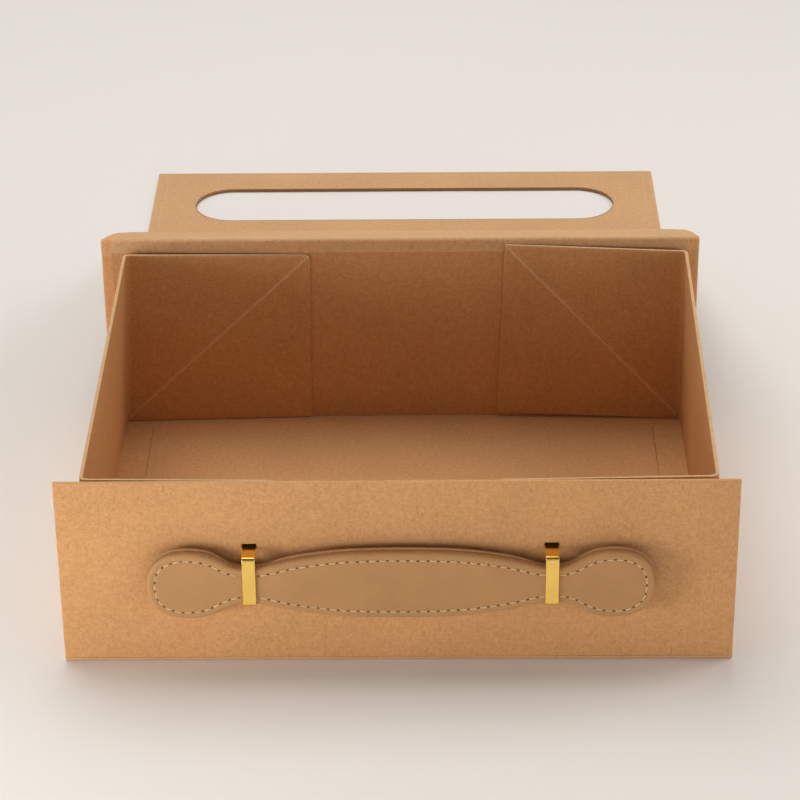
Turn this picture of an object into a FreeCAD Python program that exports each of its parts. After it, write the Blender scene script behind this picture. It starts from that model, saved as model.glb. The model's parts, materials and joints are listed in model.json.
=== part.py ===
import FreeCAD, Part
import math
import os

# A collapsible gift box of stiff boards, open, with its lid lying back and its flap on the table.
# Millimetres. X runs along the front, +Y to the back, +Z up. The origin is the centre of the base's underside.

# Case: boards wrapped in kraft paper
case_width = 330.0
tray_depth = 247.8
front_height = 102.5
back_height = 105.5
board = 2.0
fold_gap = 2.2
fold_paper = 0.6

# Lining paper on the inner faces
liner = 0.3
liner_inset = 5.8
liner_top_margin = 4.0

# Lid: hinge line to hinge line, and how far it bows towards its inner face
lid_span = 249.5
lid_bow = 5.6
lid_axis_back = 0.5
lid_axis_height = 112.4
hinge_cover = 0.7
lid_near_gap = 4.5
lid_far_gap = 4.0
hinge_bend = 1.5
flap_bend = 6.0

# Flap and its window
flap_height = 110.5
flap_near_gap = 3.0
window_length = 273.0
window_height = 48.0
window_margin = 27.0

# Side pieces: folded card
card = 1.2
wall_card = 1.6
flange_width = 16.0
flange_mitre = 8.0
flange_end_gap = 3.0
fold_step = 0.3
crease_width = 4.0
crease_height = 0.5
crease_sink = 0.3
crease_end_gap = 5.0
wall_front_gap = 1.1
wall_back_gap = 3.9
card_clearance = 0.3
card_floor_gap = 0.5
gusset_corner = 8.0

# Each side: where the wall stands, how it leans in, and how its corner squares lie
left_side = {
    "sign": -1,
    "foot": 156.0,
    "lean_front": 5.1,
    "lean_back": 5.1,
    "top_front": 102.5,
    "top_back": 107.1,
    "front_square": {"width_low": 103.0, "width_top": 96.9, "lift": 0.0, "drop": 0.8, "rounded": True},
    "back_square": {"width_low": 104.9, "width_top": 101.1, "lift": 0.0, "drop": 2.5, "rounded": False},
}
right_side = {
    "sign": 1,
    "foot": 157.4,
    "lean_front": 4.2,
    "lean_back": 0.8,
    "top_front": 103.0,
    "top_back": 107.8,
    "front_square": {"width_low": 107.0, "width_top": 103.2, "lift": 0.0, "drop": 1.3, "rounded": False},
    "back_square": {"width_low": 103.3, "width_top": 98.7, "lift": 2.3, "drop": -2.5, "rounded": False},
}

# Handle: a stitched strap on a slightly larger lining, held by two clips
handle_x = 1.6
handle_z = 49.6
strap_thick = 4.2
lining_thick = 1.4
lining_rim = 0.9
neck_ease = 12.0
strap_ear = 105.0
strap_round = 1.7
strap_play = 0.1
# Half-lengths along the strap and the half-heights there, from the middle to the end
strap_outline = [
    (0.0, 18.3),
    (15.0, 18.1),
    (30.0, 17.3),
    (44.0, 15.5),
    (57.0, 12.9),
    (67.0, 10.4),
    (74.5, 9.6),
    (82.0, 11.0),
    (91.0, 15.8),
    (101.5, 18.3),
    (112.0, 17.0),
    (118.9, 12.5),
    (122.1, 6.4),
]
strap_half_length = 122.9
stitch_inset = 3.8
stitch_pitch = 4.87
stitch_length = 3.5
stitch_width = 0.8
stitch_height = 0.3

clip_spacing = 146.6
clip_width = 6.5
clip_metal = 1.0
clip_stand = 11.2
clip_inner_height = 26.2
clip_bend = 1.2
prong_thick = 0.7
prong_length = 7.0
slit_play_x = 0.45
slit_play_top = 1.3
slit_play_low = 0.1
pocket_play = 0.1

# Magnets under the lining of the front panel and the flap
magnet_radius = 6.0
magnet_thick = 1.2
magnet_x = 120.0
magnet_play = 0.1

# Places worked out from the sizes
half_width = case_width / 2
y_front = -tray_depth / 2
y_back = tray_depth / 2
y_front_inner = y_front + board + liner
y_back_inner = y_back - board - liner
floor_z = board + liner
sheet = board + liner
hinge_under = sheet - hinge_cover
lid_axis_y = y_back + lid_axis_back
flap_axis_z = hinge_under
lid_fall = math.asin((lid_axis_height - flap_axis_z) / lid_span)
flap_axis_y = lid_axis_y + lid_span * math.cos(lid_fall)
bow_radius = lid_span ** 2 / (8 * lid_bow) + lid_bow / 2
flap_near_y = flap_axis_y + flap_near_gap
flap_far_y = flap_axis_y + flap_height
window_far_y = flap_far_y - window_margin
window_near_y = window_far_y - window_height
magnet_from_edge = window_margin / 2
magnet_z = lid_axis_height - flap_height + magnet_from_edge
y_strap_front = y_front - clip_stand + clip_metal + strap_play


def vec(x, y, z):
    return FreeCAD.Vector(x, y, z)


def box(x0, x1, y0, y1, z0, z1):
    return Part.makeBox(x1 - x0, y1 - y0, z1 - z0, vec(x0, y0, z0))


def along_x(edges, half):
    """A flat outline in the YZ plane, drawn at X = 0, made a solid that reaches half to each side."""
    face = Part.Face(Part.Wire(edges))
    face.translate(vec(-half, 0, 0))
    return face.extrude(vec(2 * half, 0, 0))


def yz(point):
    return vec(0, point[0], point[1])


def line(a, b):
    return Part.LineSegment(yz(a), yz(b)).toShape()


def arc(a, middle, b):
    return Part.Arc(yz(a), yz(middle), yz(b)).toShape()


def shifted(point, direction, distance):
    return (point[0] + direction[0] * distance, point[1] + direction[1] * distance)


def right_of(direction):
    return (direction[1], -direction[0])


def crossing(a, a_dir, b, b_dir):
    """Where the line through a meets the line through b."""
    cross = a_dir[0] * b_dir[1] - a_dir[1] * b_dir[0]
    along = ((b[0] - a[0]) * b_dir[1] - (b[1] - a[1]) * b_dir[0]) / cross
    return shifted(a, a_dir, along)


def paper_fold(start, start_dir, end, end_dir, radius, thick):
    """A paper strip from start to end that bends once; its thickness lies to the right of its way."""
    corner = crossing(start, start_dir, end, end_dir)
    turn = math.acos(max(-1.0, min(1.0, start_dir[0] * end_dir[0] + start_dir[1] * end_dir[1])))
    turns_right = start_dir[0] * end_dir[1] - start_dir[1] * end_dir[0] < 0
    tangent = radius * math.tan(turn / 2)
    first = shifted(corner, start_dir, -tangent)
    last = shifted(corner, end_dir, tangent)
    to_centre = 1 if turns_right else -1
    centre = shifted(first, right_of(start_dir), radius * to_centre)
    outward = (corner[0] - centre[0], corner[1] - centre[1])
    outward = (outward[0] / math.hypot(*outward), outward[1] / math.hypot(*outward))
    inner_radius = radius - thick * to_centre

    def moved(point, direction):
        return shifted(point, right_of(direction), thick)

    top = [start, first, shifted(centre, outward, radius), last, end]
    low = [
        moved(start, start_dir),
        moved(first, start_dir),
        shifted(centre, outward, inner_radius),
        moved(last, end_dir),
        moved(end, end_dir),
    ]
    edges = []
    if math.dist(top[0], top[1]) > 1e-6:
        edges.append(line(top[0], top[1]))
    edges.append(arc(top[1], top[2], top[3]))
    if math.dist(top[3], top[4]) > 1e-6:
        edges.append(line(top[3], top[4]))
    edges.append(line(top[4], low[4]))
    if math.dist(low[4], low[3]) > 1e-6:
        edges.append(line(low[4], low[3]))
    edges.append(arc(low[3], low[2], low[1]))
    if math.dist(low[1], low[0]) > 1e-6:
        edges.append(line(low[1], low[0]))
    edges.append(line(low[0], top[0]))
    return along_x(edges, half_width)


def lid_place(u, n):
    """A point of the lid at rest: u from its hinge line towards the flap, n towards its inner face."""
    y = lid_axis_y + u * math.cos(lid_fall) + n * math.sin(lid_fall)
    z = lid_axis_height - u * math.sin(lid_fall) + n * math.cos(lid_fall)
    return (y, z)


def bowed(u, depth):
    """A point of the bowed lid, depth below its inner face."""
    angle = math.asin((u - lid_span / 2) / bow_radius)
    radius = bow_radius - depth
    return lid_place(
        lid_span / 2 + radius * math.sin(angle),
        hinge_cover + lid_bow - bow_radius + radius * math.cos(angle),
    )


def bowed_way(u):
    """The direction along the bowed lid at u."""
    angle = lid_fall + math.asin((u - lid_span / 2) / bow_radius)
    return (math.cos(angle), -math.sin(angle))


def bowed_sheet(depth_top, depth_low, half):
    near = lid_near_gap
    far = lid_span - lid_far_gap
    middle = (near + far) / 2
    edges = [
        arc(bowed(near, depth_top), bowed(middle, depth_top), bowed(far, depth_top)),
        line(bowed(far, depth_top), bowed(far, depth_low)),
        arc(bowed(far, depth_low), bowed(middle, depth_low), bowed(near, depth_low)),
        line(bowed(near, depth_low), bowed(near, depth_top)),
    ]
    return along_x(edges, half)


def disc(x, y, z, axis, radius, thick):
    return Part.makeCylinder(radius, thick, vec(x, y, z), axis)


def clip_places():
    return [handle_x - clip_spacing / 2, handle_x + clip_spacing / 2]


def front_panel():
    panel = box(-half_width, half_width, y_front, y_front + board, fold_gap, front_height)
    slit_half = clip_width / 2 + slit_play_x
    pocket_y = y_front + board - prong_thick - pocket_play
    for x in clip_places():
        for arm_low, way in ((clip_top_z, 1), (clip_low_z - clip_metal, -1)):
            slit = box(
                x - slit_half,
                x + slit_half,
                y_front - board,
                y_front + 2 * board,
                arm_low - slit_play_low,
                arm_low + clip_metal + slit_play_top,
            )
            reach = prong_length + pocket_play
            low = arm_low - pocket_play if way > 0 else arm_low + clip_metal - reach
            high = arm_low + reach if way > 0 else arm_low + clip_metal + pocket_play
            pocket = box(x - slit_half, x + slit_half, pocket_y, y_front + 2 * board, low, high)
            panel = panel.cut(slit).cut(pocket)
    for side in (-1, 1):
        pocket = disc(
            side * magnet_x,
            y_front + board - magnet_thick - magnet_play,
            magnet_z,
            vec(0, 1, 0),
            magnet_radius + magnet_play,
            2 * board,
        )
        panel = panel.cut(pocket)
    return panel


def front_magnets():
    return [
        disc(side * magnet_x, y_front + board - magnet_thick, magnet_z, vec(0, 1, 0), magnet_radius, magnet_thick)
        for side in (-1, 1)
    ]


def base_panel():
    return box(-half_width, half_width, y_front + fold_gap, y_back - fold_gap, 0, board)


def back_panel():
    return box(-half_width, half_width, y_back - board, y_back, fold_gap, back_height)


def front_fold():
    return paper_fold((y_front + fold_gap, 0), (-1, 0), (y_front, fold_gap), (0, 1), fold_gap, fold_paper)


def back_fold():
    return paper_fold((y_back, fold_gap), (0, -1), (y_back - fold_gap, 0), (-1, 0), fold_gap, fold_paper)


def tray_liner():
    """One sheet of paper: up the front panel, over the floor, up the back panel."""
    outer = [
        (y_front + board, front_height - liner_top_margin),
        (y_front + board, board),
        (y_back - board, board),
        (y_back - board, back_height),
    ]
    inner = [
        (y_back_inner, back_height),
        (y_back_inner, floor_z),
        (y_front_inner, floor_z),
        (y_front_inner, front_height - liner_top_margin),
    ]
    points = outer + inner
    edges = [line(points[i], points[(i + 1) % len(points)]) for i in range(len(points))]
    return along_x(edges, half_width - liner_inset)


def lid_hinge_strip():
    return paper_fold(
        (y_back_inner, back_height),
        (0, 1),
        bowed(lid_near_gap, 0),
        bowed_way(lid_near_gap),
        hinge_bend,
        fold_paper,
    )


def flap_hinge_strip():
    far = lid_span - lid_far_gap
    return paper_fold(bowed(far, 0), bowed_way(far), (flap_near_y, sheet), (1, 0), flap_bend, fold_paper)


def lid_panel():
    return bowed_sheet(liner, sheet, half_width)


def lid_liner():
    return bowed_sheet(0, liner, half_width - liner_inset)


def window(z0, z1):
    """The long hole with round ends in the flap."""
    radius = window_height / 2
    straight = window_length / 2 - radius
    middle_y = (window_near_y + window_far_y) / 2
    hole = box(-straight, straight, window_near_y, window_far_y, z0, z1)
    for x in (-straight, straight):
        hole = hole.fuse(disc(x, middle_y, z0, vec(0, 0, 1), radius, z1 - z0))
    return hole.removeSplitter()


def flap_panel():
    panel = box(-half_width, half_width, flap_near_y, flap_far_y, 0, board)
    panel = panel.cut(window(-board, 2 * board))
    for side in (-1, 1):
        pocket = disc(
            side * magnet_x,
            flap_far_y - magnet_from_edge,
            board - magnet_thick - magnet_play,
            vec(0, 0, 1),
            magnet_radius + magnet_play,
            2 * board,
        )
        panel = panel.cut(pocket)
    return panel


def flap_magnets():
    return [
        disc(side * magnet_x, flap_far_y - magnet_from_edge, board - magnet_thick, vec(0, 0, 1), magnet_radius,
             magnet_thick)
        for side in (-1, 1)
    ]


def flap_liner():
    half = half_width - liner_inset
    paper = box(-half, half, flap_near_y, flap_far_y - liner_inset, board, sheet)
    return paper.cut(window(0, 2 * sheet))


def wall_section(side, y, lean, top):
    sign = side["sign"]
    foot = side["foot"]
    corners = [
        vec(sign * foot, y, floor_z),
        vec(sign * (foot + wall_card), y, floor_z),
        vec(sign * (foot - lean + wall_card), y, top),
        vec(sign * (foot - lean), y, top),
    ]
    return Part.makePolygon(corners + corners[:1])


def corner_square(side, square, y_outer, y_inner, lean, top, toward_back):
    """A folded-in square of card with its diagonal crease. It reaches from the wall to y_inner at its free end."""
    sign = side["sign"]
    low_z = floor_z + card_floor_gap

    def corner(inward, z):
        """The square stands upright, so its Y depends only on how far inward from the wall's foot it is."""
        return vec(sign * (side["foot"] - inward), y_outer + (y_inner - y_outer) * inward / square["width_low"], z)

    outer_low = corner(0, low_z)
    outer_top = corner(lean, top - fold_step)
    free_low = corner(square["width_low"], low_z + square["lift"])
    free_top = corner(lean + square["width_top"], top - square["drop"])
    normal = vec(free_low.x - outer_low.x, free_low.y - outer_low.y, 0).cross(vec(0, 0, 1))
    normal.normalize()
    if (normal.y > 0) != toward_back:
        normal = normal * -1
    # Into the wall's thickness, so that card and wall are one folded sheet
    root_low = corner(-wall_card / 2, low_z)
    root_top = corner(lean - wall_card / 2, top - fold_step)
    face = Part.Face(Part.makePolygon([root_low, free_low, free_top, root_top, root_low]))
    plate = face.extrude(normal * card)
    if square["rounded"]:
        upright = [
            edge
            for edge in plate.Edges
            if len(edge.Vertexes) == 2
            and all(v.Point.z > top - 3 * card for v in edge.Vertexes)
            and all(abs(v.Point.x - free_top.x) < card for v in edge.Vertexes)
        ]
        plate = plate.makeFillet(gusset_corner, upright)
    diagonal = free_top - outer_low
    length = diagonal.Length - 2 * crease_end_gap
    diagonal.normalize()
    across = diagonal.cross(normal)
    start = outer_low + diagonal * crease_end_gap + normal * crease_sink
    corners = [
        start + across * (crease_width / 2),
        start - across * (crease_width / 2),
        start - normal * (crease_sink + crease_height),
    ]
    ridge = Part.Face(Part.makePolygon(corners + corners[:1])).extrude(diagonal * length)
    return plate.fuse(ridge)


def side_piece(side):
    """One folded card: a wall, a flange on the floor and a square at each corner."""
    sign = side["sign"]
    foot = side["foot"]
    y_wall_front = y_front_inner + wall_front_gap
    y_wall_back = y_back_inner - wall_back_gap
    wall = Part.makeLoft(
        [
            wall_section(side, y_wall_front, side["lean_front"], side["top_front"]),
            wall_section(side, y_wall_back, side["lean_back"], side["top_back"]),
        ],
        True,
        True,
    )
    y_flange_front = y_wall_front + flange_end_gap
    y_flange_back = y_wall_back - flange_end_gap
    flange_points = [
        vec(sign * (foot + wall_card / 2), y_flange_front, floor_z),
        vec(sign * (foot + wall_card / 2), y_flange_back, floor_z),
        vec(sign * foot, y_flange_back, floor_z),
        vec(sign * (foot - flange_width), y_flange_back - flange_mitre, floor_z),
        vec(sign * (foot - flange_width), y_flange_front + flange_mitre, floor_z),
        vec(sign * foot, y_flange_front, floor_z),
    ]
    flange = Part.Face(Part.makePolygon(flange_points + flange_points[:1])).extrude(vec(0, 0, card))
    front_square = corner_square(
        side,
        side["front_square"],
        y_wall_front + fold_step + card,
        y_front_inner + card_clearance + card,
        side["lean_front"],
        side["top_front"],
        False,
    )
    back_square = corner_square(
        side,
        side["back_square"],
        y_wall_back - fold_step - card,
        y_back_inner - card_clearance - card,
        side["lean_back"],
        side["top_back"],
        True,
    )
    piece = wall.fuse([flange, front_square, back_square])
    return piece.removeSplitter()


def strap_wire(y, rim):
    """The strap's closed outline in the XZ plane at y, grown by rim everywhere but under the clips."""

    def grown(a, h):
        middle = max(-strap_ear, min(strap_ear, a))
        reach = math.hypot(a - middle, h)
        from_clip = abs(abs(a) - clip_spacing / 2) - clip_width
        growth = rim * max(0.0, min(1.0, from_clip / neck_ease))
        return a + (a - middle) * growth / reach, h + h * growth / reach

    quarter = strap_outline[1:]
    right_top = strap_outline[:1] + quarter
    right_low = [(a, -h) for a, h in reversed(quarter)]
    left_low = [(-a, -h) for a, h in strap_outline[:1] + quarter]
    left_top = [(-a, h) for a, h in reversed(quarter)]
    tips = [(strap_half_length, 0.0), (-strap_half_length, 0.0)]
    ring = right_top + tips[:1] + right_low + left_low + tips[1:] + left_top
    moved = [grown(a, h) for a, h in ring]
    curve = Part.BSplineCurve()
    curve.interpolate(Points=[vec(handle_x + a, y, handle_z + h) for a, h in moved], PeriodicFlag=True)
    return Part.Wire([curve.toShape()])


def under_strap():
    """The lowest point of the strap where a clip passes under it."""
    x = clip_places()[0]
    half = clip_width / 2
    lane = box(x - half, x + half, -1, 1, 0, handle_z)
    return Part.Face(strap_wire(0, 0)).common(lane).optimalBoundingBox().ZMin


def rounded_front(solid, y, radius):
    """The solid with the edges that lie in the plane Y = y rounded."""
    edges = [e for e in solid.Edges if abs(e.BoundBox.YMin - y) < 1e-3 and abs(e.BoundBox.YMax - y) < 1e-3]
    return solid.makeFillet(radius, edges)


def handle_strap():
    solid = Part.Face(strap_wire(y_strap_front, 0)).extrude(vec(0, strap_thick, 0))
    return rounded_front(solid, y_strap_front, strap_round)


def handle_lining():
    return Part.Face(strap_wire(y_strap_front + strap_thick, lining_rim)).extrude(vec(0, lining_thick, 0))


def handle_stitching():
    """Stitches round the strap, each a small bar on its face, with none under the clips."""
    seam = strap_wire(y_strap_front, 0).makeOffset2D(-stitch_inset)
    count = round(seam.Length / stitch_pitch)
    points = seam.discretize(Number=count + 1)[:-1]
    keep_off = (clip_width + stitch_length) / 2 + clip_metal
    stitches = []
    for i, point in enumerate(points):
        if any(abs(point.x - x) < keep_off for x in clip_places()):
            continue
        along = points[(i + 1) % count] - points[i - 1]
        angle = math.degrees(math.atan2(along.z, along.x))
        bar = box(-stitch_length / 2, stitch_length / 2, -stitch_height, 0, -stitch_width / 2, stitch_width / 2)
        bar.rotate(vec(0, 0, 0), vec(0, -1, 0), angle)
        bar.translate(vec(point.x, y_strap_front, point.z))
        stitches.append(bar)
    return stitches


def clip(x):
    """A flat band round the strap, whose ends go through the front panel and lie bent in its pockets."""
    half = clip_width / 2
    y_face = y_front - clip_stand
    low_arm = clip_low_z - clip_metal
    y_prong = y_front + board - prong_thick
    face = box(x - half, x + half, y_face, y_face + clip_metal, low_arm, clip_top_z + clip_metal)
    arms = [box(x - half, x + half, y_face, y_front + board, z, z + clip_metal) for z in (low_arm, clip_top_z)]
    body = face.fuse(arms).removeSplitter()
    bends = [
        e
        for e in body.Edges
        if abs(e.BoundBox.YMin - y_face) < 1e-3
        and abs(e.BoundBox.YMax - y_face) < 1e-3
        and e.BoundBox.XLength > clip_width / 2
    ]
    body = body.makeFillet(clip_bend, bends)
    top_prong = box(x - half, x + half, y_prong, y_front + board, clip_top_z, clip_top_z + prong_length)
    low_prong = box(x - half, x + half, y_prong, y_front + board, clip_low_z - prong_length, clip_low_z)
    return body.fuse([top_prong, low_prong]).removeSplitter()


def write(name, shape):
    solids = shape if isinstance(shape, list) else [shape]
    found = [solid for item in solids for solid in item.Solids]
    made = found[0] if len(found) == 1 else Part.makeCompound(found)
    made.exportStep(os.path.join("parts", name + ".step"))
    print(name, len(found), "solids", round(sum(s.Volume for s in found) / 1000, 2), "cm3", made.isValid())


os.makedirs("parts", exist_ok=True)
clip_low_z = under_strap() - strap_play
clip_top_z = clip_low_z + clip_inner_height
left_clip_x, right_clip_x = clip_places()
write("front_panel", front_panel())
write("base_panel", base_panel())
write("back_panel", back_panel())
write("front_fold_strip", front_fold())
write("back_fold_strip", back_fold())
write("tray_liner", tray_liner())
write("left_side", side_piece(left_side))
write("right_side", side_piece(right_side))
write("lid_hinge_strip", lid_hinge_strip())
write("lid_panel", lid_panel())
write("lid_liner", lid_liner())
write("flap_hinge_strip", flap_hinge_strip())
write("flap_panel", flap_panel())
write("flap_liner", flap_liner())
write("front_magnets", front_magnets())
write("flap_magnets", flap_magnets())
write("handle_strap", handle_strap())
write("handle_lining", handle_lining())
write("handle_stitching", handle_stitching())
write("left_clip", clip(left_clip_x))
write("right_clip", clip(right_clip_x))
print("lid axis", round(lid_axis_y, 3), lid_axis_height, "turn", round(180 + math.degrees(lid_fall), 3))
print("flap axis", round(flap_axis_y, 3), flap_axis_z, "turn", round(90 - math.degrees(lid_fall), 3))
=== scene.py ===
import json
import math

import bpy
import numpy as np
from mathutils import Euler, Matrix, Vector


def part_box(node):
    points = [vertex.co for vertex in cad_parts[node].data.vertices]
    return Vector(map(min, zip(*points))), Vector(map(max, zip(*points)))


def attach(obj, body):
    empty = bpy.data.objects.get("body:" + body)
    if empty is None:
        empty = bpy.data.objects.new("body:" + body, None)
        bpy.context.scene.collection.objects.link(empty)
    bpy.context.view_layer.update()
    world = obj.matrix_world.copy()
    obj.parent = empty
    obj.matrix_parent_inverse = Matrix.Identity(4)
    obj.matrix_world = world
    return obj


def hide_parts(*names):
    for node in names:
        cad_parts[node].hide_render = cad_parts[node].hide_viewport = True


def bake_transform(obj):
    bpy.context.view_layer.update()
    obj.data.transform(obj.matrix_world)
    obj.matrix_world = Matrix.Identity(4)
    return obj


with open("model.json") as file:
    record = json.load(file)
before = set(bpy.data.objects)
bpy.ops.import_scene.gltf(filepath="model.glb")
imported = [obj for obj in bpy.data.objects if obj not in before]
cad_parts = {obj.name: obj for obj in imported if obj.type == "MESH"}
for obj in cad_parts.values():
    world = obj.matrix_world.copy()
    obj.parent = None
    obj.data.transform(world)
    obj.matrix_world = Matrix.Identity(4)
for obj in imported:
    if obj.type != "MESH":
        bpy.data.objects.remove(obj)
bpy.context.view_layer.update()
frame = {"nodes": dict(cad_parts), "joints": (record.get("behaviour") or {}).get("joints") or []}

mm = 0.001
nodes = frame["nodes"]


print("materials")


class Nodes:
    # builds a material's node tree; every pattern lies on the piece's own Object coordinates
    def __init__(self, name):
        self.material = bpy.data.materials.new(name)
        self.material.use_nodes = True
        self.tree = self.material.node_tree
        self.shader = self.tree.nodes["Principled BSDF"]
        self.output = self.tree.nodes["Material Output"]
        self.place = self.tree.nodes.new("ShaderNodeTexCoord").outputs["Object"]

    def add(self, kind, **values):
        node = self.tree.nodes.new(kind)
        for key, value in values.items():
            setattr(node, key, value)
        return node

    def join(self, source, target):
        self.tree.links.new(source, target)

    def stretched(self, scale, turn=(0, 0, 0)):
        node = self.add("ShaderNodeMapping")
        node.inputs["Scale"].default_value = scale
        node.inputs["Rotation"].default_value = turn
        self.join(self.place, node.inputs["Vector"])
        return node.outputs["Vector"]

    def noise(self, scale, detail=2.0, rough=0.5, where=None):
        node = self.add("ShaderNodeTexNoise")
        node.inputs["Scale"].default_value = scale
        node.inputs["Detail"].default_value = detail
        node.inputs["Roughness"].default_value = rough
        self.join(where or self.place, node.inputs["Vector"])
        return node.outputs["Fac"]

    def spread(self, source, low, high, first=0.0, last=1.0):
        # the source from low to high becomes first to last
        node = self.add("ShaderNodeMapRange")
        for key, value in zip(("From Min", "From Max", "To Min", "To Max"), (low, high, first, last)):
            node.inputs[key].default_value = value
        self.join(source, node.inputs["Value"])
        return node.outputs["Result"]

    def feed(self, slot, value):
        # value: a number, a colour or another node's output
        if isinstance(value, (int, float)):
            slot.default_value = value
        elif isinstance(value, tuple):
            slot.default_value = (*value, 1.0)
        else:
            self.join(value, slot)

    def sums(self, how, first, second):
        node = self.add("ShaderNodeMath", operation=how)
        self.feed(node.inputs[0], first)
        self.feed(node.inputs[1], second)
        return node.outputs["Value"]

    def blend(self, amount, first, second):
        # a mix of two colours; sockets 0, 6 and 7 are its factor and its colours, output 2 its colour
        node = self.add("ShaderNodeMix", data_type="RGBA")
        for number, value in ((0, amount), (6, first), (7, second)):
            self.feed(node.inputs[number], value)
        return node.outputs[2]

    def bump(self, height, distance, strength=1.0, under=None):
        node = self.add("ShaderNodeBump")
        node.inputs["Strength"].default_value = strength
        node.inputs["Distance"].default_value = distance
        self.join(height, node.inputs["Height"])
        if under:
            self.join(under, node.inputs["Normal"])
        return node.outputs["Normal"]

    def attribute(self, name):
        node = self.add("ShaderNodeAttribute", attribute_name=name)
        return node.outputs["Fac"]


def shade(colour, factor, warmth=0.0):
    # warmth lowers green a little and blue more
    return tuple(min(1.0, value * factor * (1 - warmth * part)) for value, part in zip(colour, (0, 0.5, 1)))


def kraftPaper(name, look):
    # kraft paper: large clouds, fine blotchy pulp, a few pale and dark fibres, specks, rubbed edges, and
    # painted shade on edges
    n = Nodes(name)
    base = look["colour"]
    clouds = n.noise(look["clouds"], 3.0, 0.6)
    colour = n.blend(n.spread(clouds, 0.35, 0.65), shade(base, 0.95), shade(base, 1.04))
    blotches = n.noise(430, 4.0, 0.75)
    colour = n.blend(n.spread(blotches, 0.38, 0.62, 0, look["blotch"]), colour, shade(base, 0.66, 0.3))
    pulp = n.noise(900, 3.0, 0.75)
    colour = n.blend(n.spread(pulp, 0.42, 0.66, 0, look["pulp"]), colour, shade(base, 1.32, -0.1))
    lengthways = n.noise(1.0, 3.0, 0.6, n.stretched(look["grainScale"], look["grainTurn"]))
    colour = n.blend(n.spread(lengthways, 0.58, 0.72, 0, look["fibres"]), colour, shade(base, 1.35))
    crossways = n.noise(1.0, 2.0, 0.6, n.stretched(look["crossScale"], (0.5, 0.6, 0.7)))
    colour = n.blend(n.spread(crossways, 0.6, 0.74, 0, look["fibres"]), colour, shade(base, 0.58, 0.3))
    specks = n.noise(1350, 1.0, 0.5)
    colour = n.blend(n.spread(specks, 0.69, 0.74, 0, look["specks"]), colour, shade(base, 0.34, 0.4))
    creased = n.sums("ADD", n.attribute("crease"), n.spread(n.noise(170, 2.0), 0, 1, -0.5, 0.5))
    line = n.spread(n.sums("ABSOLUTE", creased, 0.0), 0.1, 0.9, 1.0, 0.0)
    line = n.sums("MULTIPLY", n.sums("MULTIPLY", line, n.attribute("square")), 0.36)
    colour = n.blend(line, colour, look["wornColour"])
    worn = n.sums("MULTIPLY", n.attribute("wear"), n.spread(n.noise(420, 2.0), 0.3, 0.65, 0.5, 1.0))
    colour = n.blend(n.sums("MULTIPLY", worn, look["wear"]), colour, look["wornColour"])
    # painted shade: darker on the flap window's cut wall and along the flange's free edge
    colour = n.blend(n.attribute("painted_edge_shade"), colour, shade(base, 0.32, 0.3))
    n.join(colour, n.shader.inputs["Base Color"])
    n.join(n.spread(pulp, 0.2, 0.8, look["rough"] - 0.06, look["rough"] + 0.06), n.shader.inputs["Roughness"])
    n.shader.inputs["Specular IOR Level"].default_value = look["specular"]
    heaved = n.bump(n.noise(look["heaveScale"], 1.5, 0.4), look["heave"] * mm)
    threads = n.bump(blotches, 0.08 * mm, 0.7, heaved)
    n.join(n.bump(pulp, 0.05 * mm, 0.8, threads), n.shader.inputs["Normal"])
    return n.material


linerLook = {
    "colour": (0.69, 0.41, 0.205), "clouds": 18, "blotch": 0.38, "pulp": 0.32, "fibres": 0.26, "specks": 0.4,
    "grainScale": (160, 800, 800), "grainTurn": (0, 0, 0.1), "crossScale": (800, 800, 200),
    "wear": 0.3, "wornColour": (0.84, 0.60, 0.36), "rough": 0.75, "specular": 0.25,
    "heaveScale": 20, "heave": 0.4,
}
# painted shade: the liner's paper, darker and more saturated, for the inside of the tray
shadedLinerLook = {**linerLook, "colour": (0.635, 0.335, 0.142)}
wrapLook = {
    **linerLook, "colour": (0.71, 0.37, 0.153), "clouds": 26, "blotch": 0.3, "pulp": 0.38, "fibres": 0.34,
    "grainTurn": (0, 0.1, 0), "wear": 0.5, "wornColour": (0.88, 0.64, 0.40), "rough": 0.72, "specular": 0.3,
    "heaveScale": 24, "heave": 0.5,
}
cardLook = {
    **linerLook, "colour": (0.62, 0.325, 0.130), "clouds": 20, "blotch": 0.4, "pulp": 0.34, "fibres": 0.28,
    "grainScale": (800, 800, 160), "grainTurn": (0.1, 0, 0), "crossScale": (300, 800, 800), "wear": 0.42,
    "wornColour": (0.88, 0.66, 0.42), "rough": 0.74, "heaveScale": 16, "heave": 0.6,
}
wrapKraft = kraftPaper("wrap_kraft", wrapLook)
linerKraft = kraftPaper("liner_kraft", linerLook)
shadedLinerKraft = kraftPaper("shaded_liner_kraft", shadedLinerLook)
cardKraft = kraftPaper("card_kraft", cardLook)


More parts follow.
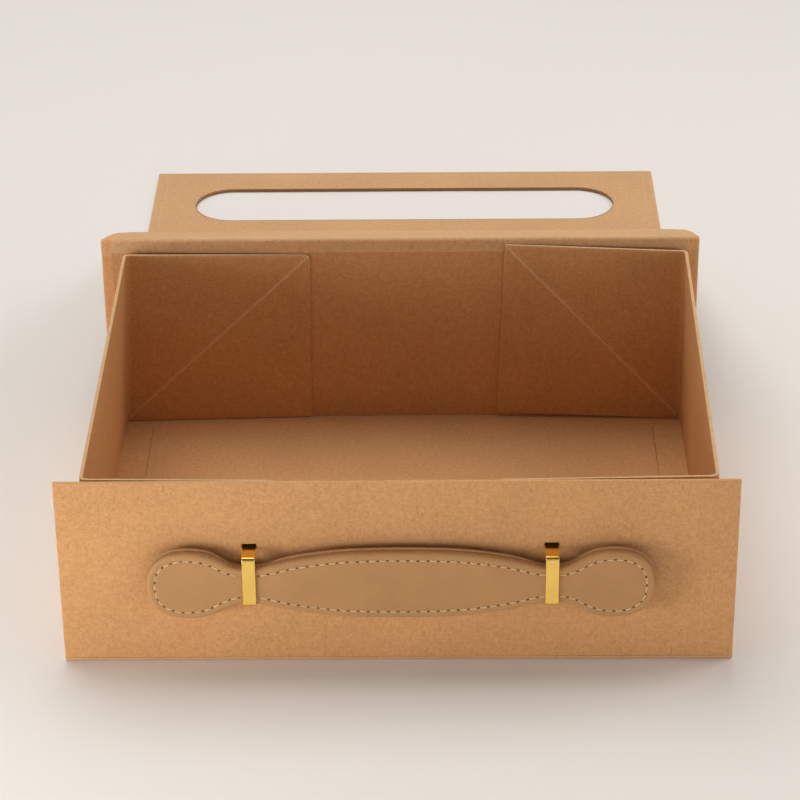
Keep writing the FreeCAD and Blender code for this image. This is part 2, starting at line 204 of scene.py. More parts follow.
def strapLeatherette(name, look):
    # imitation leather with a woven emboss: two sets of fine slanting ribs, cloudy tone, and painted shade on
    # its rounded edges and sides
    n = Nodes(name)
    base = look["colour"]
    tone = n.noise(38, 3.0, 0.6)
    colour = n.blend(n.spread(tone, 0.35, 0.65), shade(base, 0.93), shade(base, 1.06))
    ribs = []
    for turn in look["ribTurns"]:
        wave = n.add("ShaderNodeTexWave", bands_direction="X")
        wave.inputs["Scale"].default_value = look["ribScale"]
        wave.inputs["Distortion"].default_value = 1.6
        wave.inputs["Detail"].default_value = 1.0
        wave.inputs["Detail Scale"].default_value = 0.6
        n.join(n.stretched((1, 1, 1), (0, turn, 0)), wave.inputs["Vector"])
        ribs.append(wave.outputs["Fac"])
    weave = n.sums("MULTIPLY", ribs[0], ribs[1])
    grit = n.noise(1500, 2.0, 0.6)
    colour = n.blend(n.spread(weave, 0.0, 0.7, look["hatch"], 0.0), colour, shade(base, 0.66))
    colour = n.blend(n.spread(weave, 0.6, 1.0, 0.0, 0.3), colour, shade(base, 1.3))
    colour = n.blend(n.spread(grit, 0.35, 0.65, look["grit"], 0.0), colour, shade(base, 0.7))
    # painted shade: the rounded edges, the sides and the lining turn towards the edge colour
    colour = n.blend(n.sums("MULTIPLY", n.attribute("edge"), look["edge"]), colour, look["edgeShadeColour"])
    n.join(colour, n.shader.inputs["Base Color"])
    n.join(n.spread(weave, 0.0, 1.0, 0.62, 0.46), n.shader.inputs["Roughness"])
    n.shader.inputs["Specular IOR Level"].default_value = 0.4
    grain = n.bump(grit, 0.03 * mm, 0.6)
    n.join(n.bump(weave, 0.09 * mm, 0.8, grain), n.shader.inputs["Normal"])
    return n.material


# edge: how strongly the painted shade on the strap's rounded edges and sides shows, and its colour
strapLook = {
    "colour": (0.625, 0.33, 0.13), "ribScale": 270, "ribTurns": (0.72, -0.85), "hatch": 0.5, "grit": 0.25,
    "edge": 0.4, "edgeShadeColour": (0.42, 0.235, 0.095),
}
strapSkin = strapLeatherette("strap_leatherette", strapLook)


def waxedThread(name, look):
    n = Nodes(name)
    twist = n.noise(1.0, 2.0, 0.5, n.stretched((1800, 1800, 5200), (0, 0.8, 0)))
    colour = n.blend(n.spread(twist, 0.35, 0.65), shade(look["colour"], 0.7), shade(look["colour"], 1.15))
    n.join(colour, n.shader.inputs["Base Color"])
    n.join(n.spread(twist, 0.3, 0.7, 0.5, 0.66), n.shader.inputs["Roughness"])
    n.join(n.bump(twist, 0.08 * mm), n.shader.inputs["Normal"])
    return n.material


stitchThread = waxedThread("stitch_thread", {"colour": (0.86, 0.62, 0.35)})
# painted shade: a dark colour for the inside of each needle hole
holeShade = waxedThread("hole_shade", {"colour": (0.17, 0.072, 0.022)})
holeShade.node_tree.nodes["Principled BSDF"].inputs["Specular IOR Level"].default_value = 0.05


def polishedMetal(name, look):
    # polished metal: faint cloudy tarnish, hair scratches along X's length, and painted shade where the band
    # runs into a slit
    n = Nodes(name)
    tarnish = n.noise(90, 3.0, 0.6)
    colour = n.blend(n.spread(tarnish, 0.4, 0.75, 0, 0.5), look["colour"], look["tarnish"])
    # painted shade: the part inside the slit is darkened
    colour = n.blend(n.attribute("slit_shade"), colour, shade(look["colour"], 0.16, 0.4))
    n.join(colour, n.shader.inputs["Base Color"])
    n.shader.inputs["Metallic"].default_value = 1.0
    hairs = n.noise(1.0, 3.0, 0.6, n.stretched((5200, 300, 300)))
    rough = n.spread(hairs, 0.3, 0.7, look["rough"] - 0.05, look["rough"] + 0.07)
    n.join(rough, n.shader.inputs["Roughness"])
    n.join(n.bump(hairs, 0.01 * mm, 0.4), n.shader.inputs["Normal"])
    return n.material


metalLooks = {
    "brass": {"colour": (1.0, 0.69, 0.17), "tarnish": (0.86, 0.54, 0.13), "rough": 0.16},
    "steel": {"colour": (0.55, 0.55, 0.57), "tarnish": (0.4, 0.4, 0.42), "rough": 0.35},
}
clipBrass = polishedMetal("clip_brass", metalLooks["brass"])
magnetSteel = polishedMetal("magnet_steel", metalLooks["steel"])


print("shapes")


def outward(points, faces):
    # a closed shell whose faces point inward has a negative volume; then every face is turned round
    total = 0.0
    for size in (3, 4):
        some = np.array([f for f in faces if len(f) == size], int)
        if len(some):
            for second in range(1, size - 1):
                a, b, c = (points[some[:, i]] for i in (0, second, second + 1))
                total += float(np.einsum("ij,ij->i", a, np.cross(b, c)).sum())
    return faces if total > 0 else [f[::-1] for f in faces]


def placed(name, data):
    # a new object for the mesh, lamp or camera data, in the scene
    thing = bpy.data.objects.new(name, data)
    bpy.context.scene.collection.objects.link(thing)
    return thing


def smoothMesh(name, points, faces, material):
    mesh = bpy.data.meshes.new(name)
    mesh.from_pydata(points.tolist(), [], faces)
    mesh.materials.append(material)
    mesh.polygons.foreach_set("use_smooth", np.ones(len(mesh.polygons), bool))
    return mesh


def addMark(mesh, name, values):
    # one number per point, for the materials
    layer = mesh.attributes.new(name, "FLOAT", "POINT")
    layer.data.foreach_set("value", np.asarray(values, np.float32).ravel())


def makePiece(name, points, faces, material, marks, sharpAngle=50, ends=()):
    # turned outward by its faces' volume, then closed by its end faces, if any, the same way round
    turned = outward(points, faces)
    if turned is not faces:
        ends = [end[::-1] for end in ends]
    mesh = smoothMesh(name, points, turned + list(ends), material)
    for mark, values in marks.items():
        addMark(mesh, mark, values)
    mesh.update()
    if sharpAngle:
        mesh.set_sharp_from_angle(angle=math.radians(sharpAngle))
    return placed(name, mesh)


def gridFaces(rows, columns, start=0, closedRows=False, closedColumns=False):
    # quads between neighbouring rows and columns of a grid whose points are numbered row by row
    row = np.arange(rows if closedRows else rows - 1)
    column = np.arange(columns if closedColumns else columns - 1)
    r, c = np.meshgrid(row, column, indexing="ij")
    nextRow, nextColumn = (r + 1) % rows, (c + 1) % columns
    quads = np.stack(
        [r * columns + c, nextRow * columns + c, nextRow * columns + nextColumn, r * columns + nextColumn], -1
    )
    return (quads.reshape(-1, 4) + start).tolist()


def sheetFaces(rows, columns):
    # two grids of the same size, back to back, and the narrow quads that join their rims
    count = rows * columns
    rim = np.concatenate([
        np.arange(columns), np.arange(1, rows) * columns + columns - 1,
        (rows - 1) * columns + np.arange(columns - 2, -1, -1), np.arange(rows - 2, 0, -1) * columns,
    ])
    after = np.roll(rim, -1)
    faces = gridFaces(rows, columns) + [f[::-1] for f in gridFaces(rows, columns, start=count)]
    return faces + np.stack([rim, after, after + count, rim + count], -1)[:, ::-1].tolist()


def ticks(length, step):
    # places from 0 to length: close together near both ends, then evenly spaced
    near = np.array([0.0, 0.8, 2.0, 4.0]) * mm
    if length < 12 * mm:
        return np.linspace(0, length, 7)
    count = max(2, int(round((length - 8 * mm) / step)))
    return np.concatenate([near, np.linspace(4 * mm, length - 4 * mm, count + 1)[1:-1], length - near[::-1]])


def alongPath(path):
    # path: rows of y, z. Returns its length and a function from distance to place and normal, which is the
    # path's way turned left
    steps = np.diff(path, axis=0)
    lengths = np.hypot(steps[:, 0], steps[:, 1])
    run = np.concatenate([[0], np.cumsum(lengths)])
    ways = steps / lengths[:, None]
    wayAt = np.vstack([ways[:1], (ways[1:] + ways[:-1]) / 2, ways[-1:]])
    wayAt /= np.linalg.norm(wayAt, axis=1)[:, None]

    def place(a):
        y, z = np.interp(a, run, path[:, 0]), np.interp(a, run, path[:, 1])
        wy, wz = np.interp(a, run, wayAt[:, 0]), np.interp(a, run, wayAt[:, 1])
        size = np.hypot(wy, wz)
        beyond = np.where(a < 0, a, np.where(a > run[-1], a - run[-1], 0))
        return y + wy / size * beyond, z + wz / size * beyond, -wz / size, wy / size

    return run[-1], place


def board(name, path, thickness, halfWidth, material, edge=0.6 * mm, middle=0.0, step=9 * mm, across=14 * mm,
          wave=0.0, phase=0.0, halfAt=None):
    # A bent board. Its section is a rounded rectangle that follows the path; the section runs along X and
    # shrinks by a quarter circle at both ends, so every edge is round.
    # place = path(a) + normal(a) * b, with x = q * (half width - edge) + e
    length, place = alongPath(np.asarray(path, float))
    edge = min(edge, thickness / 2 - 0.02 * mm)
    flat = edge + ticks(length - 2 * edge, step)
    turn = np.radians(np.linspace(90, 0, 5))
    far = np.full(5, length - edge)
    near = np.full(5, edge)
    centreA = np.concatenate([flat, far, far, flat[::-1], near, near])
    cosTurn, sinTurn = np.cos(turn), np.sin(turn)
    cosBack, sinBack = cosTurn[::-1], sinTurn[::-1]
    towardA = np.concatenate([0 * flat, cosTurn, cosBack, 0 * flat, -cosTurn, -cosBack])
    towardB = np.concatenate([0 * flat + 1, sinTurn, -sinBack, 0 * flat - 1, -sinTurn, sinBack])
    side = np.concatenate([0 * flat + 1, far * 0 + 1, far * 0 - 1, 0 * flat - 1, near * 0 - 1, near * 0 + 1])
    swing = np.radians(np.linspace(0, 90, 5))
    inner = ticks(2 * (halfWidth - edge), across) / (halfWidth - edge) - 1
    q = np.concatenate([np.full(4, -1.0), inner, np.full(4, 1.0)])
    e = np.concatenate([-edge * np.cos(swing[:4]), 0 * inner, edge * np.cos(swing[:4][::-1])])
    reach = np.concatenate([edge * np.sin(swing[:4]), 0 * inner + edge, edge * np.sin(swing[:4][::-1])])
    reach = np.maximum(reach, 0.01 * mm)
    a = centreA[None] + reach[:, None] * towardA[None]
    b = side[None] * (thickness / 2 - edge) + reach[:, None] * towardB[None]
    half = halfWidth if halfAt is None else halfAt(a / length)
    x = q[:, None] * (half - edge) + e[:, None]
    # sway = sin(31x + p) sin(23a + 2p) + sin(67x + 41a + p) / 2, fading out within 12 mm of the rim
    sway = np.sin(x * 31 + phase) * np.sin(a * 23 + 2 * phase) + 0.5 * np.sin(x * 67 + a * 41 + phase)
    rim = np.minimum(np.minimum(a, length - a), halfWidth - np.abs(x))
    b = b + wave * sway * np.clip(rim / (12 * mm), 0, 1)
    y, z, ny, nz = place(a)
    x = x + 0 * a
    points = np.stack([x + middle, y + ny * b, z + nz * b], -1)
    rows, columns = a.shape
    faces = gridFaces(rows, columns, closedColumns=True)
    ends = [list(range(columns))[::-1], list(range((rows - 1) * columns, rows * columns))]
    wear = np.exp(-np.clip(rim, 0, None) / (0.9 * mm))
    return makePiece(name, points.reshape(-1, 3), faces, material, {"wear": wear}, ends=ends)


def dress(piece, body, slot, *replaced):
    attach(piece, body)
    if replaced:
        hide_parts(*replaced)


def boxOf(node):
    low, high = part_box(node)
    return np.array(low), np.array(high)


def placesOf(mesh):
    spots = np.zeros(len(mesh.vertices) * 3)
    mesh.vertices.foreach_get("co", spots)
    return spots.reshape(-1, 3)


print("boards")

caseShape = {
    "boardEdge": 0.7 * mm,
    "linerThick": 0.3 * mm,
    "linerInset": 5.8 * mm,
    "linerTopMargin": 4.0 * mm,
    "foldPaper": 0.6 * mm,
    "foldRadius": 2.2 * mm,
}
lidShape = {
    "bow": 5.6 * mm,
    "hingeCover": 0.7 * mm,
    "nearGap": 4.5 * mm,
    "farGap": 4.0 * mm,
    "hingeBend": 1.5 * mm,
    "flapBend": 6.0 * mm,
    "thick": 2.3 * mm,
}

halfWidth = boxOf("base_panel")[1][0]
baseLow, baseHigh = boxOf("base_panel")
backLow, backHigh = boxOf("back_panel")
frontLow, frontHigh = boxOf("front_panel")
flapLow, flapHigh = boxOf("flap_panel")
boardThick = baseHigh[2] - baseLow[2]
lidAxis = np.array(frame["joints"][0]["pos_m"])[1:]
flapAxis = np.array(frame["joints"][1]["pos_m"])[1:]
lidSpan = float(np.hypot(*(flapAxis - lidAxis)))
lidWay = (flapAxis - lidAxis) / lidSpan
lidUp = np.array([-lidWay[1], lidWay[0]])
bowRadius = lidSpan ** 2 / (8 * lidShape["bow"]) + lidShape["bow"] / 2


def lidPath(depth, start=0.0, end=0.0, count=60):
    # the bowed lid, depth below its inner face: an arc that stands higher in its middle by the bow
    u = np.linspace(lidShape["nearGap"] + start, lidSpan - lidShape["farGap"] - end, count)
    angle = np.arcsin((u - lidSpan / 2) / bowRadius)
    along = lidSpan / 2 + (bowRadius - depth) * np.sin(angle)
    up = lidShape["hingeCover"] + lidShape["bow"] - bowRadius + (bowRadius - depth) * np.cos(angle)
    return lidAxis + along[:, None] * lidWay + up[:, None] * lidUp


def foldPath(start, startWay, end, endWay, radius, shift):
    # straight, arc, straight; the path then lies to the right of that line by shift
    start, startWay, end, endWay = (np.asarray(v, float) for v in (start, startWay, end, endWay))
    cross = startWay[0] * endWay[1] - startWay[1] * endWay[0]
    gap = end - start
    corner = start + startWay * (gap[0] * endWay[1] - gap[1] * endWay[0]) / cross
    turn = math.acos(float(np.clip(startWay @ endWay, -1, 1)))
    hand = 1.0 if cross < 0 else -1.0
    first = corner - startWay * radius * math.tan(turn / 2)
    last = corner + endWay * radius * math.tan(turn / 2)
    centre = first + np.array([startWay[1], -startWay[0]]) * radius * hand
    angles = np.linspace(0, turn, 13) * -hand
    spoke = first - centre
    cosine, sine = np.cos(angles), np.sin(angles)
    turned = np.stack([spoke[0] * cosine - spoke[1] * sine, spoke[0] * sine + spoke[1] * cosine], -1)
    arc = centre + turned * (radius - shift * hand) / radius
    lead = start + np.array([startWay[1], -startWay[0]]) * shift
    tail = end + np.array([endWay[1], -endWay[0]]) * shift
    parts = [arc]
    if np.linalg.norm(first - start) > 0.05 * mm:
        parts.insert(0, lead[None])
    if np.linalg.norm(last - end) > 0.05 * mm:
        parts.append(tail[None])
    return np.vstack(parts)


basePath = [(baseLow[1], boardThick / 2), (baseHigh[1], boardThick / 2)]
dress(board("base_board", basePath, boardThick, halfWidth, wrapKraft, 0.5 * mm),
      "tray", "kraft_board", "base_panel")
backMiddle = (backLow[1] + backHigh[1]) / 2
backPath = [(backMiddle, backLow[2]), (backMiddle, backHigh[2])]
dress(board("back_board", backPath, backHigh[1] - backLow[1], halfWidth, wrapKraft, 0.5 * mm, wave=0.12 * mm),
      "tray", "kraft_board", "back_panel")
lidMiddle = (lidShape["thick"] + caseShape["linerThick"]) / 2
lidBoard = board("lid_board", lidPath(lidMiddle), boardThick, halfWidth, wrapKraft, caseShape["boardEdge"],
                 wave=0.15 * mm, phase=0.7)
dress(lidBoard, "lid", "kraft_board", "lid_panel")
linerHalf = halfWidth - caseShape["linerInset"]
linerThick = caseShape["linerThick"]
lidPaper = board("lid_paper", lidPath(linerThick / 2), linerThick, linerHalf, linerKraft, 0.1 * mm,
                 wave=0.15 * mm, phase=0.7)
dress(lidPaper, "lid", "kraft_paper", "lid_liner")

paperThick = caseShape["foldPaper"]
foldRadius = caseShape["foldRadius"]
foldEnds = {
    "front_fold": ((frontLow[1] + foldRadius, 0), (-1, 0), (frontLow[1], frontLow[2]), (0, 1)),
    "back_fold": ((backHigh[1], backLow[2]), (0, -1), (backHigh[1] - foldRadius, 0), (-1, 0)),
}
for foldName, ends in foldEnds.items():
    middleLine = foldPath(*ends, foldRadius, paperThick / 2)
    fold = board(foldName, middleLine, paperThick, halfWidth, wrapKraft, 0.15 * mm)
    dress(fold, "tray", "kraft_paper", foldName + "_strip")

print("hinge papers")
innerBack = backLow[1] - caseShape["linerThick"]
lidStart = lidPath(0.0)
startWay = (lidStart[1] - lidStart[0]) / np.linalg.norm(lidStart[1] - lidStart[0])
endWay = (lidStart[-1] - lidStart[-2]) / np.linalg.norm(lidStart[-1] - lidStart[-2])
paperLayers = {
    "lid_ridge_wrap": {"depth": 0.45 * mm, "half": halfWidth, "paper": wrapKraft},
    "lid_ridge_lining": {"depth": 0.15 * mm, "half": linerHalf, "paper": linerKraft},
}
for layerName, layer in paperLayers.items():
    ridgePath = foldPath((innerBack, backHigh[2]), (0, 1), lidStart[0], startWay, lidShape["hingeBend"],
                         layer["depth"])
    ridge = board(layerName, ridgePath, 0.3 * mm, layer["half"], layer["paper"], 0.12 * mm, step=1 * mm)
    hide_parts("lid_hinge_strip")
    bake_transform(ridge)
flapStart = (flapLow[1], flapHigh[2] + caseShape["linerThick"])
valleyPath = foldPath(lidStart[-1], endWay, flapStart, (1, 0), lidShape["flapBend"], paperThick / 2)
valley = board("flap_valley_paper", valleyPath, paperThick, halfWidth, linerKraft, 0.2 * mm, step=1 * mm)
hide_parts("flap_hinge_strip")
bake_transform(valley)

print("flap")


def ringOutlines(low, high, hole, cornerRadius):
    # The outer outline is a rectangle with small round corners, the inner one a stadium, with as many points
    # each: right end, far side, left end, near side. Every row is x, y, outward x, outward y.
    straight = hole["half"] - hole["radius"]
    midY = hole["middle"]
    lead = straight + 30 * mm
    cornerTurn = np.radians(np.linspace(0, 90, 7))
    x1, y0, y1 = high[0], low[1], high[1]
    r = cornerRadius

    def run(xa, ya, xb, yb, nx, ny, count):
        t = np.linspace(0, 1, count, endpoint=False)
        return np.stack([xa + (xb - xa) * t, ya + (yb - ya) * t, nx + 0 * t, ny + 0 * t], -1)

    def bend(cx, cy, first):
        turn = cornerTurn[:-1] + first
        return np.stack([cx + r * np.cos(turn), cy + r * np.sin(turn), np.cos(turn), np.sin(turn)], -1)

    right = np.vstack([
        run(lead, y0, x1 - r, y0, 0, -1, 8),
        bend(x1 - r, y0 + r, -math.pi / 2),
        run(x1, y0 + r, x1, y1 - r, 1, 0, 20),
        bend(x1 - r, y1 - r, 0),
        run(x1 - r, y1, lead, y1, 0, 1, 8),
    ])
    far = run(lead, y1, -lead, y1, 0, 1, 30)
    left = right * [-1, -1, -1, -1]
    left[:, 1] += y0 + y1
    near = run(-lead, y0, lead, y0, 0, -1, 30)
    outer = np.vstack([right, far, left, near])
    turn = np.linspace(-math.pi / 2, math.pi / 2, len(right), endpoint=False)
    capX, capY = np.cos(turn), np.sin(turn)
    radius = hole["radius"]
    cap = np.stack([straight + radius * capX, midY + radius * capY, capX, capY], -1)
    capLeft = cap * [-1, -1, -1, -1]
    capLeft[:, 1] += 2 * midY
    top = run(straight, midY + radius, -straight, midY + radius, 0, 1, 30)
    bottom = run(-straight, midY - radius, straight, midY - radius, 0, -1, 30)
    inner = np.vstack([cap, top, capLeft, bottom])
    return outer, inner


def ringBoard(name, low, high, hole, edge, cornerRadius, material):
    # A board with a hole. Its section is a loop: outer wall, round edge, upper face, round edge, hole wall
    # and back underneath; the section travels round both outlines at once.
    outer, inner = ringOutlines(low, high, hole, cornerRadius)
    thick = high[2] - low[2]
    edge = min(edge, thick / 2 - 0.02 * mm)
    turn = np.radians(np.linspace(0, 90, 5))
    share = np.concatenate([np.zeros(5), [0.03, 0.1, 0.25, 0.5, 0.75, 0.9, 0.97], np.ones(5)])
    inset = np.concatenate([edge * (1 - np.cos(turn)), np.full(7, edge), edge * (1 - np.cos(turn[::-1]))])
    height = np.concatenate([thick - edge + edge * np.sin(turn), np.full(7, thick),
                             thick - edge + edge * np.sin(turn[::-1])])
    share = np.concatenate([share, share[::-1]])
    inset = np.concatenate([inset, inset[::-1]])
    height = np.concatenate([height, (thick - height)[::-1]])
    start = outer[:, None, :2] - outer[:, None, 2:] * inset[None, :, None]
    stop = inner[:, None, :2] + inner[:, None, 2:] * inset[None, :, None]
    flat = start * (1 - share[None, :, None]) + stop * share[None, :, None]
    z = low[2] + np.broadcast_to(height[None], flat.shape[:2])
    points = np.concatenate([flat, z[..., None]], -1)
    toOuter = np.linalg.norm(flat - outer[:, None, :2], axis=-1)
    toInner = np.linalg.norm(flat - inner[:, None, :2], axis=-1)
    wear = np.exp(-toOuter / (0.9 * mm)) * (toInner > 5 * mm)
    # painted shade on the hole's wall, which faces the front
    painted_edge_shade = 0.8 * (toInner < 0.12 * mm)
    rows, columns = flat.shape[:2]
    faces = gridFaces(rows, columns, closedRows=True, closedColumns=True)
    return makePiece(name, points.reshape(-1, 3), faces, material, {"wear": wear, "painted_edge_shade": painted_edge_shade})


windowShape = {"half": 136.5 * mm, "radius": 24 * mm, "margin": 27.0 * mm}
windowShape["middle"] = flapHigh[1] - windowShape["margin"] - windowShape["radius"]
dress(ringBoard("flap_board", flapLow, flapHigh, windowShape, caseShape["boardEdge"], 0.8 * mm, linerKraft),
      "flap", "kraft_board", "flap_panel")
flapPaperLow, flapPaperHigh = boxOf("flap_liner")
dress(ringBoard("flap_paper", flapPaperLow, flapPaperHigh, windowShape, 0.1 * mm, 0.3 * mm, linerKraft),
      "flap", "kraft_paper", "flap_liner")

print("front panel")


def frontBoard():
    # the CAD board with its slits, its outer edges rounded like wrapped paper
    mesh = nodes["front_panel"].data.copy()
    piece = placed("front_board", mesh)
    mesh.materials.clear()
    mesh.materials.append(wrapKraft)
    bpy.context.view_layer.objects.active = piece
    merge = piece.modifiers.new("merge", "WELD")
    merge.merge_threshold = 0.01 * mm
    flatten = piece.modifiers.new("flatten", "DECIMATE")
    flatten.decimate_type = "DISSOLVE"
    flatten.angle_limit = math.radians(1)
    depsgraph = bpy.context.evaluated_depsgraph_get()
    clean = bpy.data.meshes.new_from_object(piece.evaluated_get(depsgraph))
    piece.modifiers.clear()
    piece.data = clean
    spots = placesOf(clean)
    ends = np.zeros(len(clean.edges) * 2, int)
    clean.edges.foreach_get("vertices", ends)
    ends = ends.reshape(-1, 2)
    tiny = 0.05 * mm
    onRim = (np.abs(np.abs(spots[:, 0]) - halfWidth) < tiny) | (spots[:, 2] > frontHigh[2] - tiny) | (
        spots[:, 2] < frontLow[2] + tiny)
    weight = (onRim[ends[:, 0]] & onRim[ends[:, 1]]).astype(np.float32)
    layer = clean.attributes.new("bevel_weight_edge", "FLOAT", "EDGE")
    layer.data.foreach_set("value", weight)
    rounded = piece.modifiers.new("rounded", "BEVEL")
    rounded.limit_method = "WEIGHT"
    rounded.width = 0.6 * mm
    rounded.segments = 4
    return piece


dress(frontBoard(), "tray", "kraft_board", "front_panel")

print("side pieces")

sideShapes = {
    "left": {
        "sign": -1, "foot": 156.0, "leanFront": 5.1, "leanBack": 5.1, "topFront": 102.5, "topBack": 107.1,
        "front": {"low": 103.0, "top": 96.9, "lift": 0.0, "drop": 0.8, "round": 8.0},
        "back": {"low": 104.9, "top": 101.1, "lift": 0.0, "drop": 2.5, "round": 3.0},
    },
    "right": {
        "sign": 1, "foot": 157.4, "leanFront": 4.2, "leanBack": 0.8, "topFront": 103.0, "topBack": 107.8,
        "front": {"low": 107.0, "top": 103.2, "lift": 0.0, "drop": 1.3, "round": 1.5},
        "back": {"low": 103.3, "top": 98.7, "lift": 2.3, "drop": -2.5, "round": 1.5},
    },
}
cardShape = {
    "wallThick": 1.6, "cardThick": 1.2, "floor": 2.3, "floorGap": 0.5, "frontGap": 1.1, "backGap": 3.9,
    "clearance": 0.3, "flange": 16.0, "mitre": 8.0, "flangeEnd": 3.0, "step": 0.3, "creaseWidth": 2.0,
    "creaseHeight": 0.55, "dip": 0.35, "dipAt": 2.9, "dipWidth": 0.8,
    "wallRows": 60, "cornerRows": 6, "columns": 90,
}


def foldedSide(name, shape):
    # One folded card, seen from above a path: free end of the front square, corner, wall, corner, free end of
    # the back square. Rows go along that path and columns upward; each corner is a quadratic curve. The
    # crease is a ridge whose height falls off with the distance from the square's diagonal.
    sign, foot = shape["sign"], shape["foot"]
    s = cardShape
    yFrontInner = (frontHigh[1] + caseShape["linerThick"]) / mm
    yBackInner = (backLow[1] - caseShape["linerThick"]) / mm
    yFront = yFrontInner + s["frontGap"] + s["step"] + s["cardThick"] / 2
    yBack = yBackInner - s["backGap"] - s["step"] - s["cardThick"] / 2
    yFrontFree = yFrontInner + s["clearance"] + s["cardThick"] / 2
    yBackFree = yBackInner - s["clearance"] - s["cardThick"] / 2
    low = s["floor"] + s["floorGap"]
    up = np.linspace(0, 1, s["columns"])[None]
    middleFoot = foot + s["wallThick"] / 2

    def square(part, yCorner, yFree, lean, top, inside):
        # reach is 1 at the square's free end and small at the corner with the wall
        reach = np.concatenate([[1, 0.996, 0.99], np.linspace(0.98, 0.06, 85), np.linspace(0.05, 0.03, 3)])
        reach = reach[:, None]
        widthLow, widthTop = part["low"] + s["wallThick"] / 2, part["top"] + s["wallThick"] / 2
        lowEdge = low + part["lift"] * reach
        topEdge = top - s["step"] + (s["step"] - part["drop"]) * reach
        fromFree = (1 - reach) * widthTop
        radius = part["round"]
        rounding = radius - np.sqrt(np.clip(radius ** 2 - (radius - fromFree) ** 2, 0, None))
        z = lowEdge + (topEdge - np.where(fromFree < radius, rounding, 0.0) - lowEdge) * up
        rise = (z - low) / (top - low)
        inward = lean * rise + reach * (widthLow + (widthTop - widthLow) * rise)
        x = middleFoot - inward
        y = yCorner + (yFree - yCorner) * inward / widthLow
        # distance from the line that joins the outer bottom corner and the free top corner
        ax, az = middleFoot, low
        bx, bz = middleFoot - lean - widthTop, top - part["drop"]
        size = math.hypot(bx - ax, bz - az)
        signed = ((bx - ax) * (z - az) - (bz - az) * (x - ax)) / size
        away = np.abs(signed)
        dip = s["dip"] * np.exp(-(((away - s["dipAt"]) / s["dipWidth"]) ** 2))
        fold = s["creaseHeight"] * (np.exp(-((away / s["creaseWidth"]) ** 4)) - dip)
        fade = np.clip(np.minimum(rise, 1 - rise) / 0.04, 0, 1)
        return x, y + inside * fold * fade, z, signed

    *front, frontCrease = square(shape["front"], yFront, yFrontFree, shape["leanFront"], shape["topFront"], 1)
    *back, backCrease = square(shape["back"], yBack, yBackFree, shape["leanBack"], shape["topBack"], -1)
    along = np.linspace(0.012, 0.988, s["wallRows"])[:, None]
    top = shape["topFront"] + (shape["topBack"] - shape["topFront"]) * along
    lean = shape["leanFront"] + (shape["leanBack"] - shape["leanFront"]) * along
    wallZ = s["floor"] + 0.2 + (top - s["floor"] - 0.2) * up
    wallX = middleFoot - lean * (wallZ - s["floor"]) / (top - s["floor"])
    wallX = wallX - 0.5 * np.sin(math.pi * along) * np.sin(math.pi * up)
    wall = [wallX, yFront + (yBack - yFront) * along + 0 * wallZ, wallZ]

    def corner(before, after, y, leanHere, topHere):
        # rounds the corner whose upright line stands at y
        t = np.linspace(0, 1, s["cornerRows"] + 2)[1:-1][:, None]
        z = low + (topHere - low) * up[0]
        upright = (middleFoot - leanHere * (z - low) / (topHere - low), y + 0 * z, z)
        knots = zip(before, upright, after)
        return [(1 - t) ** 2 * p + 2 * t * (1 - t) * c + t ** 2 * q for p, c, q in knots]

    frontEnd, backEnd = ([v[-1] for v in part] for part in (front, back))
    wallStart, wallEnd = ([v[i] for v in wall] for i in (0, -1))
    frontCorner = corner(frontEnd, wallStart, yFront, shape["leanFront"], shape["topFront"])
    backCorner = corner(wallEnd, backEnd, yBack, shape["leanBack"], shape["topBack"])
    x, y, z = (
        np.vstack([front[i], frontCorner[i], wall[i], backCorner[i], back[i][::-1]]) for i in range(3)
    )
    points = np.stack([sign * x, y, z], -1) * mm
    rows, columns = x.shape
    squareRows = len(front[0])
    wallRows = rows - 2 * squareRows
    # normals from the grid's own slopes; half the thickness goes to each side
    normal = np.cross(np.gradient(points, axis=0), np.gradient(points, axis=1))
    normal /= np.maximum(np.linalg.norm(normal, axis=-1, keepdims=True), 1e-12)
    half = np.full((rows, 1, 1), s["cardThick"] / 2)
    half[squareRows:squareRows + wallRows] = s["wallThick"] / 2
    half *= mm
    rim = np.exp(-(z[:, -1:] - z[:, :1]) * (1 - up) / 0.8)
    rim[0] = 1.0
    rim[-1] = 1.0
    crease = np.vstack([frontCrease, np.repeat(frontCrease[-1:], wallRows // 2, 0),
                        np.repeat(backCrease[-1:], wallRows // 2, 0), backCrease[::-1]])
    onSquare = np.ones((rows, columns))
    onSquare[squareRows:squareRows + wallRows] = 0.0
    shell = np.concatenate([(points + normal * half).reshape(-1, 3), (points - normal * half).reshape(-1, 3)])
    # the flange: a flat strip on the floor with slanting ends
    t = np.array([0.0, 0.05, 0.3, 0.6, 0.9, 0.96, 1.0])[:, None]
    v = np.linspace(0, 1, 40)[None]
    start = yFrontInner + s["frontGap"] + s["flangeEnd"] + s["mitre"] * t
    stop = yBackInner - s["backGap"] - s["flangeEnd"] - s["mitre"] * t
    flangeX = sign * (foot + s["wallThick"] / 2 - (s["flange"] + s["wallThick"] / 2) * t) + 0 * v
    flangeY = start + (stop - start) * v
    liftUp = 0.25 * np.sin(math.pi * v) * t ** 2
    upper = np.stack([flangeX, flangeY, s["floor"] + s["cardThick"] + liftUp], -1) * mm
    lower = np.stack([flangeX, flangeY, s["floor"] + liftUp * 0.6], -1) * mm
    strip = np.concatenate([upper.reshape(-1, 3), lower.reshape(-1, 3)])
